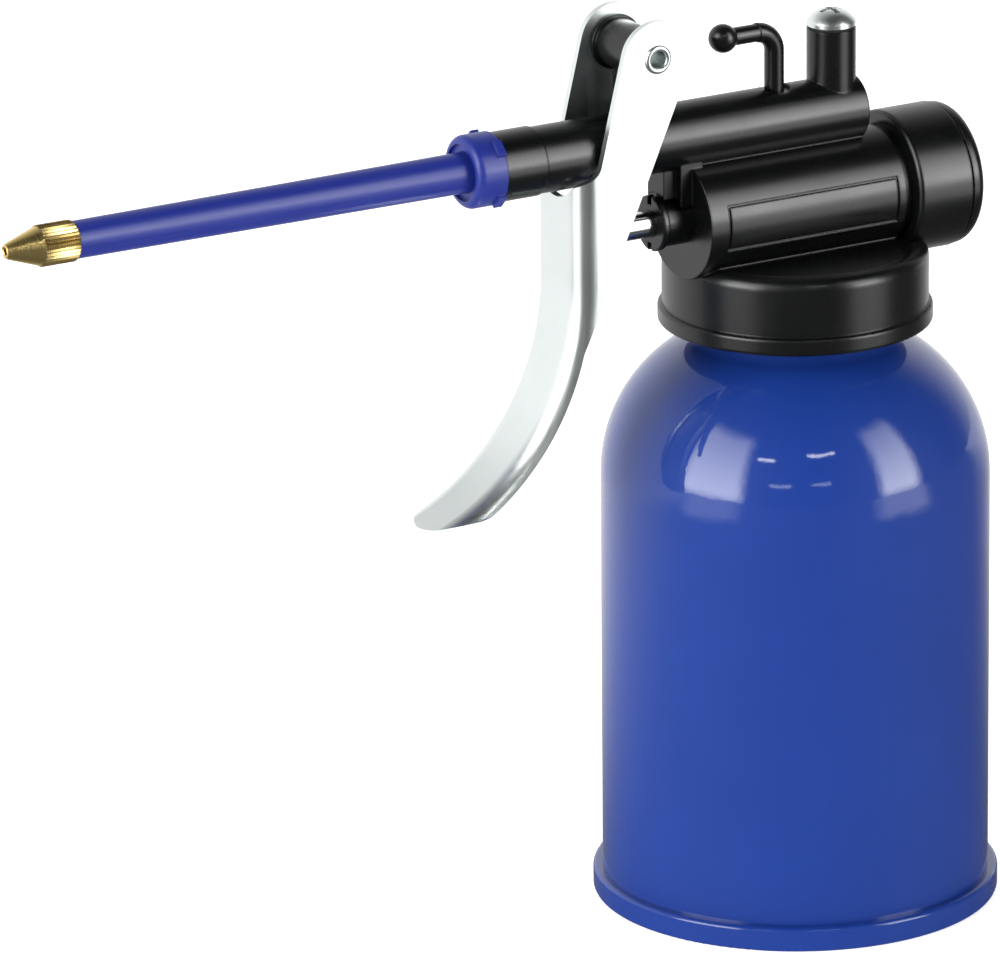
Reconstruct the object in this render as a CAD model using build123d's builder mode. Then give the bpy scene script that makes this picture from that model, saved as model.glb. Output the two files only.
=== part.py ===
from build123d import *
import math
import os

# Handy oiler can: a steel can with a screw-on pump head, a squeeze trigger and a long rigid spout.
# Millimetres. The origin is the centre of the can's foot, +Z is up and the spout points to -X.

# ---------------------------------------------------------------- driving dimensions
# Can
can_radius = 32.5
can_wall = 0.5
wall_top = 73.3                 # height at which the straight wall turns into the shoulder
shoulder_radius = 26.0
neck_radius = 14.5
neck_height = 10.5
collar_radius = 16.4            # step of the shell between the shoulder and the neck
collar_gap = 0.35               # the collar stops this far below the cap
collar_fillet = 3.0             # hollow radius between the shoulder and the collar
thread_height = 0.5             # how far the rolled thread stands out of the neck
thread_turns = (4.0, 7.6)       # heights of the two thread rings above the foot of the neck
ferrule_foot = 3.0              # the threaded ferrule starts this far above the foot of the neck
ferrule_skirt = 1.8             # how deep it is pushed into the stub of the shell
seam_height = 4.2
seam_thickness = 1.6
seam_fillet = 0.72
foot_recess = 3.0               # how far the base panel is sunk above the floor
base_sheet = 0.6

# Screw cap of the pump head
cap_radius = 22.2
cap_wall = 2.0
cap_height = 13.0
cap_top_thickness = 3.2
cap_bead = 0.7
cap_bead_height = 3.0
cap_rim_fillet = 2.2
gasket_thickness = 1.2

# Pump barrel
barrel_radius = 10.2
barrel_front = -22.4
barrel_rear = 15.5
barrel_sink = 2.6               # how deep the barrel sits in the top of the screw cap
bore_radius = 6.5
front_wall = 5.4
thread_length = 9.5
thread_step = 0.5               # the barrel's rear thread is this much smaller in radius

# End cap
end_cap_wall = 2.48
end_cap_floor = 3.8
end_cap_gap = 1.5
end_cap_rear_fillet = 1.8
end_cap_front_fillet = 0.8
end_seal_thickness = 1.4

# Discharge tube above the barrel
tube_radius = 5.55
tube_sink = 1.55                # how deep the tube merges with the barrel
tube_front = -50.7
tube_rear = 11.1
oil_way_radius = 1.9

# Valve turret
turret_x = 7.0
turret_radius = 4.1
turret_top_above_tube = 14.1    # above the tube's axis
ball_radius = 1.9
seat_hole_radius = 1.3
chamber_radius = 2.4

# Stopcock lever
stopcock_x = -4.1
plug_radius = 2.6
stem_radius = 1.65
arm_radius = 1.5
arm_rise = 15.2                 # arm axis above the tube's axis
arm_reach = 9.9
bend_radius = 3.4
knob_radius = 2.4

# Trigger
pivot_x = -31.0
pivot_rise = 15.9               # pivot above the tube's axis
trigger_sheet = 1.2
ear_gap = 12.5
ear_radius = 6.4
ear_front_lean = 14.0           # degrees
web_x = -46.2                   # front face of the trigger's web
bend_outside = 3.6              # outside radius of the pressed bends between web and ears
arc_drop = 7.34                 # the blade starts to curve this far below the pump's axis
blade_arc_radius = 40.0
blade_arc_angle = 70.0
blade_depth = 2.4               # how deep the rolled edges of the blade stand back
foot_angle = 14.5               # where on the arc the ears' rear edges run out
post_front = -33.4
post_rear = -26.0
post_half = 2.8
boss_radius = 4.1
boss_ring_radius = 4.65
boss_ring_length = 0.6
rivet_radius = 2.0
rivet_head_radius = 2.45
rivet_bore_radius = 1.4

# Plunger
rod_radius = 2.25
spigot_radius = 1.4
gland_radius = 4.2
gland_flange_radius = 4.7
gland_flange_length = 1.3
gland_length = 5.8
piston_length = 4.0
cup_length = 2.5
seat_washer_thickness = 0.8
nut_length = 2.0
spring_wire_radius = 0.45
spring_mean_radius = 5.0
spring_turns = 8

# Spout
coupling_radius = 5.8
coupling_length = 7.75
coupling_nose_radius = 4.7
coupling_nose_length = 2.2
spout_seal_thickness = 0.8
nut_radius = 6.1
nut_total_length = 5.4
nut_front_fillet = 1.3
nut_recess_radius = 4.7
nut_recess_depth = 0.6
spout_root_radius = 3.4
spout_end_radius = 3.08
spout_length = 72.95
spout_flange_thickness = 1.0
nozzle_knurl_length = 6.4
nozzle_cone_length = 5.8
nozzle_radius = 3.4

# Suction side
suction_x = 8.0
suction_boss_radius = 4.4
suction_boss_depth = 11.8
dip_tube_radius = 2.5
dip_tube_bore = 1.9
dip_tube_foot = 8.0             # lower end of the dip tube above the floor
seat_stem = 8.0                 # how far the inlet seat reaches into the dip tube
keeper_radius = 0.45            # wire across the inlet chamber that keeps the ball in
keeper_rise = 5.4               # above the inlet seat

# Fits
running_fit = 0.05              # radial clearance of moving shafts and of the piston
push_fit = 0.02                 # radial clearance of parts pushed or screwed together
side_clearance = 0.2
cap_clearance = 0.3

# ---------------------------------------------------------------- places worked out from them
shoulder_centre = can_radius - shoulder_radius
neck_base = wall_top + math.sqrt(shoulder_radius ** 2 - (neck_radius - shoulder_centre) ** 2)
neck_top = neck_base + neck_height
ferrule_bottom = neck_base + ferrule_foot
cap_bore = neck_radius + thread_height + cap_clearance
inner_ring_radius = cap_bore + cap_wall
cap_ceiling = neck_top + gasket_thickness
cap_top = cap_ceiling + cap_top_thickness
cap_bottom = cap_top - cap_height
collar_top = cap_bottom - collar_gap

pump_axis = cap_top + barrel_radius - barrel_sink
tube_axis = pump_axis + barrel_radius + tube_radius - tube_sink
turret_top = tube_axis + turret_top_above_tube
pivot_z = tube_axis + pivot_rise

bore_front = barrel_front + front_wall
barrel_end = barrel_rear + thread_length
end_cap_front = barrel_rear + end_cap_gap
end_cap_inside = barrel_end + end_seal_thickness
end_cap_rear = end_cap_inside + end_cap_floor
rear_thread_radius = barrel_radius - thread_step
end_cap_bore = rear_thread_radius + push_fit
end_cap_radius = end_cap_bore + end_cap_wall

piston_front = bore_front + 0.1
cup_front = piston_front + piston_length
washer_front = cup_front + cup_length
nut_front = washer_front + seat_washer_thickness
spring_front = nut_front
rod_tip = web_x + trigger_sheet + 0.1


def facing_x(x, z):
    """Section plane that faces +X, with its origin on the middle plane."""
    return Plane(origin=(x, 0, z), x_dir=(0, 1, 0), z_dir=(1, 0, 0))


def facing_up(x, z):
    """Level plane that faces +Z."""
    return Plane(origin=(x, 0, z))


def side_plane(x=0.0, z=0.0, y=0.0):
    """Plane of a side elevation: local x is +X and local y is +Z."""
    return Plane(origin=(x, y, z), x_dir=(1, 0, 0), z_dir=(0, -1, 0))


os.makedirs("parts", exist_ok=True)


def save(builder, name):
    """Label a finished piece and write it as its own STEP file."""
    builder.part.label = name
    export_step(builder.part, f"parts/{name}.step")


# ---------------------------------------------------------------- can
# Drawn steel shell: straight wall, domed shoulder, low collar and the stub of the neck.
hook_gap = 1.0                  # the shell's lower edge stands this far above the seam's foot


def shell_line(inset):
    """Outline of the shell from its lower edge to the top of the stub, moved inwards by inset."""
    radius = shoulder_radius - inset
    hollow = collar_fillet + inset
    hollow_centre_x = collar_radius + collar_fillet
    turn = math.degrees(math.acos((hollow_centre_x - shoulder_centre) / (radius + hollow)))
    hollow_centre_z = wall_top + (radius + hollow) * math.sin(math.radians(turn))
    Line((can_radius - inset, hook_gap), (can_radius - inset, wall_top))
    CenterArc((shoulder_centre, wall_top), radius, 0, turn)
    CenterArc((hollow_centre_x, hollow_centre_z), hollow, 180 + turn, -turn)
    Polyline((collar_radius - inset, hollow_centre_z), (collar_radius - inset, collar_top - inset),
             (neck_radius - inset, collar_top - inset), (neck_radius - inset, ferrule_bottom))


with BuildPart() as can_body:
    with BuildSketch(Plane.XZ):
        with BuildLine():
            shell_line(0)
            Line((neck_radius, ferrule_bottom), (neck_radius - can_wall, ferrule_bottom))
            shell_line(can_wall)
            Line((can_radius - can_wall, hook_gap), (can_radius, hook_gap))
        make_face()
    revolve(axis=Axis.Z)
save(can_body, "can_body")

# Threaded ferrule, soldered on the stub and pushed a little way into it.
with BuildPart() as neck_ferrule:
    with BuildSketch(Plane.XZ):
        with BuildLine():
            skirt = neck_radius - can_wall - push_fit
            Polyline((neck_radius, ferrule_bottom), (neck_radius, neck_top),
                     (skirt - can_wall, neck_top), (skirt - can_wall, ferrule_bottom - ferrule_skirt),
                     (skirt, ferrule_bottom - ferrule_skirt), (skirt, ferrule_bottom), close=True)
        make_face()
        with Locations(*[(neck_radius, neck_base + turn) for turn in thread_turns]):
            Circle(thread_height)
    revolve(axis=Axis.Z)
save(neck_ferrule, "neck_ferrule")

# Pressed base panel, sunk above the floor, with the rolled seam that grips the shell.
seam_radius = can_radius + seam_thickness
chuck_radius = can_radius - can_wall - base_sheet

with BuildPart() as can_base:
    with BuildSketch(Plane.XZ):
        with BuildLine():
            Polyline((0, foot_recess), (chuck_radius - 1, foot_recess), (chuck_radius, 0),
                     (seam_radius, 0), (seam_radius, seam_height), (can_radius, seam_height),
                     (can_radius, hook_gap), (can_radius - can_wall, hook_gap),
                     (can_radius - can_wall, foot_recess + base_sheet),
                     (0, foot_recess + base_sheet), (0, foot_recess))
        make_face()
    revolve(axis=Axis.Z)
    seam_edges = can_base.edges().filter_by(GeomType.CIRCLE).group_by(SortBy.RADIUS)[-1]
    fillet(seam_edges, seam_fillet)
save(can_base, "can_base")

# ---------------------------------------------------------------- pump head
# One moulding: screw cap, barrel, discharge tube, valve turret, pivot post and suction boss.
gland_pocket = gland_radius - 0.55
gland_pocket_depth = 3.8
seal_length = 1.4
nose_radius = 3.9
nose_length = 6.2
web_half = 2.5
web_front = -27.0
shelf_half = 4.0                # thicker rear part of that web, against the barrel
shelf_front = -24.6
gland_clearance = 0.3
suction_bottom = cap_ceiling - suction_boss_depth
seat_top = suction_bottom + 5.0
outlet_seat = pump_axis + bore_radius + 4.4
frame_front = -18.9
frame_rear = 14.1
frame_half_height = 3.85
frame_line = 0.4
frame_depth = 0.3
relief = 0.7
hollow_top = pump_axis - end_cap_radius - relief - 2

with BuildPart() as frame_groove:
    with BuildSketch(facing_x(barrel_front, pump_axis)):
        Circle(barrel_radius + 1)
        Circle(barrel_radius - frame_depth, mode=Mode.SUBTRACT)
    extrude(amount=barrel_rear - barrel_front)
    with BuildSketch(side_plane((frame_front + frame_rear) / 2, pump_axis)):
        Rectangle(frame_rear - frame_front, 2 * frame_half_height)
        Rectangle(frame_rear - frame_front - 2 * frame_line,
                  2 * (frame_half_height - frame_line), mode=Mode.SUBTRACT)
    extrude(amount=barrel_radius + 1, mode=Mode.INTERSECT)

with BuildPart() as pump_head:
    # screw cap with its bead
    with BuildSketch(Plane.XZ):
        with BuildLine():
            Polyline((0, cap_ceiling), (cap_bore, cap_ceiling), (cap_bore, cap_bottom),
                     (inner_ring_radius, cap_bottom), (inner_ring_radius, hollow_top),
                     (cap_radius - cap_wall, hollow_top), (cap_radius - cap_wall, cap_bottom),
                     (cap_radius + cap_bead, cap_bottom),
                     (cap_radius + cap_bead, cap_bottom + cap_bead_height),
                     (cap_radius, cap_bottom + cap_bead_height), (cap_radius, cap_top),
                     (0, cap_top), (0, cap_ceiling))
        make_face()
    revolve(axis=Axis.Z)
    cap_rim = pump_head.edges().filter_by(GeomType.CIRCLE).group_by(Axis.Z)[-1]
    fillet(cap_rim, cap_rim_fillet)
    bead_edges = pump_head.edges().filter_by(GeomType.CIRCLE).group_by(SortBy.RADIUS)[-1]
    fillet(bead_edges, cap_bead * 0.8)
    # room in the cap's rim for the end cap to turn
    with BuildSketch(facing_x(end_cap_front - relief, pump_axis)):
        Circle(end_cap_radius + relief)
    extrude(amount=cap_radius, mode=Mode.SUBTRACT)
    # barrel with its rear thread
    with BuildSketch(facing_x(barrel_front, pump_axis)):
        Circle(barrel_radius)
    extrude(amount=barrel_rear - barrel_front)
    with BuildSketch(facing_x(barrel_rear, pump_axis)):
        Circle(rear_thread_radius)
    extrude(amount=thread_length)
    # discharge tube and the nose that the coupling screws on
    with BuildSketch(facing_x(tube_front, tube_axis)):
        Circle(tube_radius)
    extrude(amount=tube_rear - tube_front)
    with BuildSketch(facing_x(tube_front - nose_length, tube_axis)):
        Circle(nose_radius)
    extrude(amount=nose_length)
    # valve turret
    with BuildSketch(facing_up(turret_x, tube_axis)):
        Circle(turret_radius)
    extrude(amount=turret_top - tube_axis)
    # pivot post with its boss, and the rings that the ears bear on
    with BuildSketch(facing_up((post_front + post_rear) / 2, tube_axis)):
        Rectangle(post_rear - post_front, 2 * post_half)
    extrude(amount=pivot_rise)
    with BuildSketch(side_plane(pivot_x, pivot_z)):
        Circle(boss_radius)
    extrude(amount=ear_gap / 2 - side_clearance, both=True)
    for side in (-1, 1):
        with BuildSketch(side_plane(pivot_x, pivot_z, side * (ear_gap / 2 - side_clearance))):
            Circle(boss_ring_radius)
        extrude(amount=side * boss_ring_length)
    # web below the front of the tube, thicker where it meets the barrel
    for front, half in ((web_front, web_half), (shelf_front, shelf_half)):
        with BuildSketch(facing_up((front + barrel_front) / 2 + 1, pump_axis)):
            Rectangle(barrel_front - front + 2, 2 * half)
        extrude(amount=tube_axis - pump_axis)
    # suction boss under the cap
    with BuildSketch(facing_up(suction_x, suction_bottom)):
        Circle(suction_boss_radius)
    extrude(amount=suction_boss_depth + 1)
    # seat for the gland nut, cut into the web
    with BuildSketch(facing_x(barrel_front - gland_length, pump_axis)):
        Circle(gland_flange_radius + gland_clearance)
    extrude(amount=gland_length, mode=Mode.SUBTRACT)
    with BuildSketch(facing_x(barrel_front, pump_axis)):
        Circle(gland_pocket)
    extrude(amount=gland_pocket_depth, mode=Mode.SUBTRACT)
    with BuildSketch(facing_x(barrel_front, pump_axis)):
        Circle(rod_radius + running_fit)
    extrude(amount=front_wall, mode=Mode.SUBTRACT)
    # pump bore
    with BuildSketch(facing_x(bore_front, pump_axis)):
        Circle(bore_radius)
    extrude(amount=barrel_end - bore_front, mode=Mode.SUBTRACT)
    # oil way along the tube
    with BuildSketch(facing_x(tube_front - nose_length, tube_axis)):
        Circle(oil_way_radius)
    extrude(amount=turret_x - tube_front + nose_length, mode=Mode.SUBTRACT)
    # outlet valve chamber and its port from the bore
    with BuildSketch(facing_up(turret_x, outlet_seat)):
        Circle(chamber_radius)
    extrude(amount=turret_top - outlet_seat, mode=Mode.SUBTRACT)
    with BuildSketch(facing_up(turret_x, pump_axis)):
        Circle(seat_hole_radius)
    extrude(amount=outlet_seat - pump_axis, mode=Mode.SUBTRACT)
    # stopcock bore
    with BuildSketch(facing_up(stopcock_x, tube_axis - 3.6)):
        Circle(plug_radius + running_fit)
    extrude(amount=tube_radius + 4, mode=Mode.SUBTRACT)
    # inlet port, valve chamber and socket for the valve seat
    with BuildSketch(facing_up(suction_x, suction_bottom)):
        Circle(seat_hole_radius)
    extrude(amount=pump_axis - suction_bottom, mode=Mode.SUBTRACT)
    with BuildSketch(facing_up(suction_x, suction_bottom)):
        Circle(chamber_radius)
    extrude(amount=suction_boss_depth + 1, mode=Mode.SUBTRACT)
    with BuildSketch(facing_up(suction_x, suction_bottom)):
        Circle(chamber_radius + 0.8)
    extrude(amount=seat_top - suction_bottom, mode=Mode.SUBTRACT)
    # hole for the rivet, hole for the ball keeper, engraved frame
    with BuildSketch(side_plane(pivot_x, pivot_z)):
        Circle(rivet_radius + running_fit)
    extrude(amount=ear_gap, both=True, mode=Mode.SUBTRACT)
    with BuildSketch(side_plane(suction_x, seat_top + keeper_rise)):
        Circle(keeper_radius)
    extrude(amount=suction_boss_radius, both=True, mode=Mode.SUBTRACT)
    add(frame_groove.part, mode=Mode.SUBTRACT)
save(pump_head, "pump_head")

# Rubber washer between the neck's rim and the cap.
with BuildPart() as cap_gasket:
    with BuildSketch(facing_up(0, neck_top)):
        Circle(cap_bore - 0.1)
        Circle(neck_radius - 1.6, mode=Mode.SUBTRACT)
    extrude(amount=gasket_thickness)
save(cap_gasket, "cap_gasket")

# ---------------------------------------------------------------- end cap and its seal
lip_length = 2.6
lip_groove = 0.4

with BuildPart() as end_cap:
    with BuildSketch(side_plane(0, pump_axis)):
        with BuildLine():
            Polyline((end_cap_front, end_cap_bore), (end_cap_front, end_cap_radius),
                     (end_cap_rear - lip_length - lip_groove, end_cap_radius),
                     (end_cap_rear - lip_length - lip_groove, end_cap_radius - 0.5),
                     (end_cap_rear - lip_length, end_cap_radius - 0.5),
                     (end_cap_rear - lip_length, end_cap_radius - 0.2),
                     (end_cap_rear, end_cap_radius - 0.2), (end_cap_rear, 0), (end_cap_inside, 0),
                     (end_cap_inside, end_cap_bore), close=True)
        make_face()
    revolve(axis=Axis((0, 0, pump_axis), (1, 0, 0)))
    rear_rim = end_cap.edges().filter_by(GeomType.CIRCLE).group_by(Axis.X)[-1]
    fillet(rear_rim, end_cap_rear_fillet)
    front_rims = end_cap.edges().filter_by(GeomType.CIRCLE).group_by(Axis.X)[0]
    fillet(front_rims.sort_by(SortBy.RADIUS)[-1], end_cap_front_fillet)
save(end_cap, "end_cap")

with BuildPart() as end_cap_seal:
    with BuildSketch(facing_x(barrel_end, pump_axis)):
        Circle(rear_thread_radius)
        Circle(bore_radius, mode=Mode.SUBTRACT)
    extrude(amount=end_seal_thickness)
save(end_cap_seal, "end_cap_seal")

# ---------------------------------------------------------------- gland nut and rod seal
spanner_slot = 1.2
gland_edge = 0.35

with BuildPart() as gland_nut:
    with BuildSketch(facing_x(barrel_front - gland_length, pump_axis)):
        Circle(gland_flange_radius)
    extrude(amount=gland_flange_length)
    flange_edges = gland_nut.edges().filter_by(GeomType.CIRCLE)
    fillet(flange_edges, gland_edge)
    with BuildSketch(facing_x(barrel_front - gland_length + gland_flange_length, pump_axis)):
        Circle(gland_radius)
    extrude(amount=gland_length - gland_flange_length)
    with BuildSketch(facing_x(barrel_front, pump_axis)):
        Circle(gland_pocket - push_fit)
    extrude(amount=gland_pocket_depth - seal_length)
    with BuildSketch(facing_x(barrel_front - gland_length, pump_axis)):
        Circle(rod_radius + running_fit)
    extrude(amount=gland_length + gland_pocket_depth, mode=Mode.SUBTRACT)
    # two slots for a pin spanner
    with BuildSketch(facing_x(barrel_front - gland_length, pump_axis)):
        Rectangle(spanner_slot, 2 * gland_flange_radius + 1)
        Circle(rod_radius + 1, mode=Mode.SUBTRACT)
    extrude(amount=gland_flange_length, mode=Mode.SUBTRACT)
save(gland_nut, "gland_nut")

with BuildPart() as rod_seal:
    with BuildSketch(facing_x(barrel_front + gland_pocket_depth - seal_length, pump_axis)):
        Circle(gland_pocket - push_fit)
        Circle(rod_radius + running_fit, mode=Mode.SUBTRACT)
    extrude(amount=seal_length)
save(rod_seal, "rod_seal")

# ---------------------------------------------------------------- plunger
# Ground steel rod with a domed tip that the trigger pushes, and a spigot for the piston.
spigot_end = nut_front + nut_length + 0.4

with BuildPart() as piston_rod:
    with BuildSketch(side_plane(0, pump_axis)):
        with BuildLine():
            CenterArc((rod_tip + rod_radius, 0), rod_radius, 90, 90)
            Polyline((rod_tip, 0), (spigot_end, 0), (spigot_end, spigot_radius),
                     (piston_front, spigot_radius), (piston_front, rod_radius),
                     (rod_tip + rod_radius, rod_radius))
        make_face()
    revolve(axis=Axis((0, 0, pump_axis), (1, 0, 0)))
save(piston_rod, "piston_rod")

with BuildPart() as piston:
    with BuildSketch(facing_x(piston_front, pump_axis)):
        Circle(bore_radius - 2 * running_fit)
        Circle(spigot_radius + push_fit, mode=Mode.SUBTRACT)
    extrude(amount=piston_length)
    piston_rims = piston.edges().filter_by(GeomType.CIRCLE).group_by(SortBy.RADIUS)[-1]
    chamfer(piston_rims, 0.3)
save(piston, "piston")

# Leather-like cup that seals the bore, with its lip towards the oil.
with BuildPart() as piston_cup:
    with BuildSketch(side_plane(0, pump_axis)):
        with BuildLine():
            Polyline((cup_front, spigot_radius + push_fit), (cup_front, bore_radius - running_fit),
                     (cup_front + cup_length, bore_radius - running_fit),
                     (cup_front + cup_length, bore_radius - running_fit - 0.4),
                     (cup_front + 1.0, bore_radius - 1.0),
                     (cup_front + 1.0, spigot_radius + push_fit), close=True)
        make_face()
    revolve(axis=Axis((0, 0, pump_axis), (1, 0, 0)))
save(piston_cup, "piston_cup")

# Dished washer that clamps the cup and carries the spring.
with BuildPart() as spring_seat:
    with BuildSketch(facing_x(cup_front + 1.0, pump_axis)):
        Circle(spring_mean_radius - spring_wire_radius - 0.3)
        Circle(spigot_radius + push_fit, mode=Mode.SUBTRACT)
    extrude(amount=washer_front - cup_front - 1.0)
    with BuildSketch(facing_x(washer_front, pump_axis)):
        Circle(spring_mean_radius + spring_wire_radius)
        Circle(spigot_radius + push_fit, mode=Mode.SUBTRACT)
    extrude(amount=seat_washer_thickness)
save(spring_seat, "spring_seat")

with BuildPart() as piston_nut:
    with BuildSketch(facing_x(nut_front, pump_axis)):
        RegularPolygon(spigot_radius + 1.1, 6, major_radius=False)
        Circle(spigot_radius + push_fit, mode=Mode.SUBTRACT)
    extrude(amount=nut_length)
save(piston_nut, "piston_nut")

# Return spring between its seat and the end cap.
spring_length = end_cap_inside - spring_front - 2 * spring_wire_radius

with BuildPart() as return_spring:
    with BuildLine() as spring_path:
        Helix(pitch=spring_length / spring_turns, height=spring_length, radius=spring_mean_radius,
              center=(spring_front + spring_wire_radius, 0, pump_axis), direction=(1, 0, 0))
    spring_start = spring_path.line
    with BuildSketch(Plane(origin=spring_start @ 0, z_dir=spring_start % 0)):
        Circle(spring_wire_radius)
    sweep(is_frenet=True)
save(return_spring, "return_spring")

# ---------------------------------------------------------------- outlet valve
ball_lift = math.sqrt(ball_radius ** 2 - seat_hole_radius ** 2)
screw_seal_thickness = 0.5
screw_shank = 8.0
screw_head_height = 2.6

with BuildPart() as outlet_ball:
    with BuildSketch(side_plane(turret_x, outlet_seat + ball_lift)):
        Circle(ball_radius)
        Rectangle(2 * ball_radius, 2 * ball_radius, align=(Align.MAX, Align.CENTER), mode=Mode.SUBTRACT)
    revolve(axis=Axis((turret_x, 0, 0), (0, 0, 1)))
save(outlet_ball, "outlet_ball")

with BuildPart() as valve_screw:
    with BuildSketch(side_plane(turret_x, turret_top + screw_seal_thickness)):
        with BuildLine():
            Line((0, 0), (turret_radius, 0))
            Line((turret_radius, 0), (turret_radius, 0.6))
            ThreePointArc((turret_radius, 0.6), (turret_radius * 0.62, screw_head_height - 0.5),
                          (0, screw_head_height))
            Line((0, screw_head_height), (0, 0))
        make_face()
        with Locations((0, 0)):
            Rectangle(chamber_radius - push_fit, screw_shank, align=(Align.MIN, Align.MAX))
    revolve(axis=Axis((turret_x, 0, 0), (0, 0, 1)))
    # cross recess
    with BuildSketch(facing_up(turret_x, turret_top + screw_seal_thickness + screw_head_height - 1.4)):
        Rectangle(4.2, 0.9)
        Rectangle(0.9, 4.2)
    extrude(amount=2, mode=Mode.SUBTRACT)
save(valve_screw, "valve_screw")

with BuildPart() as valve_screw_seal:
    with BuildSketch(facing_up(turret_x, turret_top)):
        Circle(turret_radius - 0.3)
        Circle(chamber_radius, mode=Mode.SUBTRACT)
    extrude(amount=screw_seal_thickness)
save(valve_screw_seal, "valve_screw_seal")

valve_spring_wire = 0.2
valve_spring_radius = 1.25
valve_spring_foot = outlet_seat + ball_lift + ball_radius - 0.2
valve_spring_top = turret_top + screw_seal_thickness - screw_shank

with BuildPart() as outlet_spring:
    with BuildLine() as valve_path:
        Helix(pitch=(valve_spring_top - valve_spring_foot - 2 * valve_spring_wire) / 6,
              height=valve_spring_top - valve_spring_foot - 2 * valve_spring_wire,
              radius=valve_spring_radius,
              center=(turret_x, 0, valve_spring_foot + valve_spring_wire))
    valve_start = valve_path.line
    with BuildSketch(Plane(origin=valve_start @ 0, z_dir=valve_start % 0)):
        Circle(valve_spring_wire)
    sweep(is_frenet=True)
save(outlet_spring, "outlet_spring")

# ---------------------------------------------------------------- stopcock
plug_bottom = tube_axis - 3.5
plug_top = tube_axis + 4.2
bush_top = tube_axis + tube_radius - 0.6
arm_z = tube_axis + arm_rise

with BuildPart() as stopcock_lever:
    with BuildSketch(facing_up(stopcock_x, plug_bottom)):
        Circle(plug_radius)
    extrude(amount=plug_top - plug_bottom)
    with BuildSketch(facing_x(stopcock_x - plug_radius - 1, tube_axis)):
        Circle(oil_way_radius - 0.4)
    extrude(amount=2 * plug_radius + 2, mode=Mode.SUBTRACT)
    with BuildSketch(facing_up(stopcock_x, plug_top)):
        Circle(stem_radius)
    extrude(amount=arm_z - bend_radius - plug_top)
    with BuildSketch(facing_up(stopcock_x, arm_z - bend_radius)):
        Circle(stem_radius)
    revolve(axis=Axis((stopcock_x - bend_radius, 0, arm_z - bend_radius), (0, -1, 0)),
            revolution_arc=90)
    with BuildSketch(facing_x(stopcock_x - arm_reach, arm_z)):
        Circle(arm_radius)
    extrude(amount=arm_reach - bend_radius)
    with BuildSketch(side_plane(stopcock_x - arm_reach, arm_z)):
        Circle(knob_radius)
        Rectangle(2 * knob_radius, 2 * knob_radius, align=(Align.CENTER, Align.MAX), mode=Mode.SUBTRACT)
    revolve(axis=Axis((0, 0, arm_z), (1, 0, 0)))
save(stopcock_lever, "stopcock_lever")

with BuildPart() as stopcock_bush:
    with BuildSketch(facing_up(stopcock_x, plug_top + 0.1)):
        Circle(plug_radius)
        Circle(stem_radius + running_fit, mode=Mode.SUBTRACT)
    extrude(amount=bush_top - plug_top - 0.1)
save(stopcock_bush, "stopcock_bush")

# ---------------------------------------------------------------- coupling, spout and nozzle
coupling_front = tube_front - coupling_length
coupling_nose_end = coupling_front - coupling_nose_length
flange_rear = coupling_nose_end - spout_seal_thickness
flange_front = flange_rear - spout_flange_thickness
nut_rear = coupling_front - 0.05
spout_nut_front = nut_rear - nut_total_length
spout_end = flange_front - spout_length
flange_radius = coupling_nose_radius - 0.2
coupling_chamfer = 0.15

with BuildPart() as spout_coupling:
    with BuildSketch(side_plane(0, tube_axis)):
        with BuildLine():
            Polyline((tube_front, nose_radius + push_fit), (tube_front, coupling_radius),
                     (coupling_front, coupling_radius), (coupling_front, coupling_nose_radius),
                     (coupling_nose_end, coupling_nose_radius), (coupling_nose_end, oil_way_radius),
                     (tube_front - nose_length, oil_way_radius),
                     (tube_front - nose_length, nose_radius + push_fit), close=True)
        make_face()
    revolve(axis=Axis((0, 0, tube_axis), (1, 0, 0)))
    rear_edges = spout_coupling.edges().filter_by(GeomType.CIRCLE).group_by(Axis.X)[-1]
    chamfer(rear_edges.sort_by(SortBy.RADIUS)[-1], coupling_chamfer)
save(spout_coupling, "spout_coupling")

with BuildPart() as spout_seal:
    with BuildSketch(facing_x(flange_rear, tube_axis)):
        Circle(flange_radius)
        Circle(oil_way_radius, mode=Mode.SUBTRACT)
    extrude(amount=spout_seal_thickness)
save(spout_seal, "spout_seal")

with BuildPart() as spout_tube:
    with BuildSketch(side_plane(0, tube_axis)):
        with BuildLine():
            Polyline((flange_rear, oil_way_radius), (flange_rear, flange_radius),
                     (flange_front, flange_radius), (flange_front, spout_root_radius),
                     (spout_end, spout_end_radius), (spout_end, oil_way_radius), close=True)
        make_face()
    revolve(axis=Axis((0, 0, tube_axis), (1, 0, 0)))
save(spout_tube, "spout_tube")

lug_count = 4
lug_height = 0.5
lug_width = 2.8
lug_length = 1.5

with BuildPart() as spout_nut:
    with BuildSketch(side_plane(0, tube_axis)):
        with BuildLine():
            Polyline((nut_rear, coupling_nose_radius + push_fit), (nut_rear, nut_radius),
                     (spout_nut_front, nut_radius), (spout_nut_front, nut_recess_radius),
                     (spout_nut_front + nut_recess_depth, nut_recess_radius),
                     (spout_nut_front + nut_recess_depth, spout_root_radius + push_fit),
                     (flange_front, spout_root_radius + push_fit),
                     (flange_front, coupling_nose_radius + push_fit), close=True)
        make_face()
    revolve(axis=Axis((0, 0, tube_axis), (1, 0, 0)))
    front_edges = spout_nut.edges().filter_by(GeomType.CIRCLE).group_by(Axis.X)[0]
    fillet(front_edges.sort_by(SortBy.RADIUS)[-1], nut_front_fillet)
    with BuildSketch(facing_x(nut_rear - lug_length, tube_axis)):
        with PolarLocations(nut_radius, lug_count, start_angle=45):
            Rectangle(2 * lug_height, lug_width)
    extrude(amount=lug_length)
save(spout_nut, "spout_nut")

knurl_rear = spout_end
knurl_front = spout_end - nozzle_knurl_length
nozzle_tip_x = knurl_front - nozzle_cone_length
nozzle_nose = 1.0
orifice_radius = 0.6
spigot_length = 6.0
knurl_count = 30

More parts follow.
